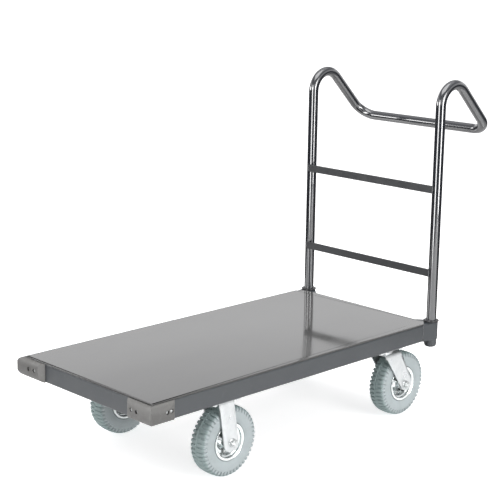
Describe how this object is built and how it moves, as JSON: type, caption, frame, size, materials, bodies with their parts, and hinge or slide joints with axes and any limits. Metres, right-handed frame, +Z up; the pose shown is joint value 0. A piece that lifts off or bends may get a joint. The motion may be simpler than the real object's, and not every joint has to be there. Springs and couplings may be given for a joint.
{
  "type": "platform truck",
  "caption": "Flatbed platform truck: steel deck on a channel frame, bent-tube push handle in rear corner sockets, rigid front and swivel rear casters with pneumatic wheels.",
  "frame": {"origin": "on the floor, under the middle of the whole truck's bounding box", "axes": "+X to the rear, where the push handle stands; +Y to the right of a person pushing it; +Z up"},
  "size_m": [1.5482, 0.638, 1.1173],
  "materials": {
    "deck_grey": "semi-gloss mid grey enamel",
    "frame_grey": "semi-gloss dark grey enamel",
    "bumper_rubber": "matte grey moulded rubber",
    "handle_gloss": "high-gloss charcoal enamel",
    "rung_satin": "satin dark grey enamel",
    "ring_black": "black enamel",
    "tyre_rubber": "matte light grey non-marking rubber",
    "tube_rubber": "matte black butyl",
    "chromed_rim": "bright plated steel",
    "zinc_plate": "bright zinc-plated pressed steel",
    "zinc_fastener": "zinc-plated steel",
    "bearing_steel": "ground steel"
  },
  "bodies": {
    "chassis": {"bumper_screws": "zinc_fastener", "caster_bolts": "zinc_fastener", "caster_nuts": "zinc_fastener", "corner_gussets": "frame_grey", "deck_plate": "deck_grey", "deck_stiffeners": "frame_grey", "front_axle_bolts": "zinc_fastener", "front_axle_nuts": "zinc_fastener", "front_axle_spacers": "zinc_fastener", "front_channel": "frame_grey", "front_crossmember": "frame_grey", "handle_rings": "ring_black", "handle_tube": "handle_gloss", "king_pins": "zinc_fastener", "left_corner_bumper": "bumper_rubber", "left_front_fork": "zinc_plate", "left_side_channel": "frame_grey", "left_socket_strap": "frame_grey", "left_swivel_plate": "zinc_plate", "lower_rung": "rung_satin", "rear_channel": "frame_grey", "rear_crossmember": "frame_grey", "right_corner_bumper": "bumper_rubber", "right_front_fork": "zinc_plate", "right_side_channel": "frame_grey", "right_socket_strap": "frame_grey", "right_swivel_plate": "zinc_plate", "socket_caps": "frame_grey", "socket_sleeves": "frame_grey", "upper_rung": "rung_satin"},
    "left_swivel": {"left_rear_fork": "zinc_plate", "left_swivel_balls": "bearing_steel", "left_rear_axle_bolt": "zinc_fastener", "left_rear_axle_nut": "zinc_fastener", "left_rear_axle_spacers": "zinc_fastener"},
    "right_swivel": {"right_rear_fork": "zinc_plate", "right_swivel_balls": "bearing_steel", "right_rear_axle_bolt": "zinc_fastener", "right_rear_axle_nut": "zinc_fastener", "right_rear_axle_spacers": "zinc_fastener"},
    "left_front_wheel": {"left_front_bearings": "bearing_steel", "left_front_inner_tube": "tube_rubber", "left_front_rim_inner": "chromed_rim", "left_front_rim_outer": "chromed_rim", "left_front_tyre": "tyre_rubber"},
    "left_rear_wheel": {"left_rear_bearings": "bearing_steel", "left_rear_inner_tube": "tube_rubber", "left_rear_rim_inner": "chromed_rim", "left_rear_rim_outer": "chromed_rim", "left_rear_tyre": "tyre_rubber"},
    "right_front_wheel": {"right_front_bearings": "bearing_steel", "right_front_inner_tube": "tube_rubber", "right_front_rim_inner": "chromed_rim", "right_front_rim_outer": "chromed_rim", "right_front_tyre": "tyre_rubber"},
    "right_rear_wheel": {"right_rear_bearings": "bearing_steel", "right_rear_inner_tube": "tube_rubber", "right_rear_rim_inner": "chromed_rim", "right_rear_rim_outer": "chromed_rim", "right_rear_tyre": "tyre_rubber"}
  },
  "joints": [
    {"name": "left_caster_swivel", "type": "hinge", "parent": "chassis", "child": "left_swivel", "pos_m": [0.2959, -0.24, 0.24], "axis": [0, 0, 1], "continuous": true},
    {"name": "right_caster_swivel", "type": "hinge", "parent": "chassis", "child": "right_swivel", "pos_m": [0.2959, 0.24, 0.24], "axis": [0, 0, 1], "continuous": true},
    {"name": "left_front_wheel_spin", "type": "hinge", "parent": "chassis", "child": "left_front_wheel", "pos_m": [-0.4281, -0.24, 0.109], "axis": [0, 1, 0], "continuous": true},
    {"name": "left_rear_wheel_spin", "type": "hinge", "parent": "left_swivel", "child": "left_rear_wheel", "pos_m": [0.3709, -0.24, 0.109], "axis": [0, 1, 0], "continuous": true},
    {"name": "right_front_wheel_spin", "type": "hinge", "parent": "chassis", "child": "right_front_wheel", "pos_m": [-0.4281, 0.24, 0.109], "axis": [0, 1, 0], "continuous": true},
    {"name": "right_rear_wheel_spin", "type": "hinge", "parent": "right_swivel", "child": "right_rear_wheel", "pos_m": [0.3709, 0.24, 0.109], "axis": [0, 1, 0], "continuous": true}
  ]
}
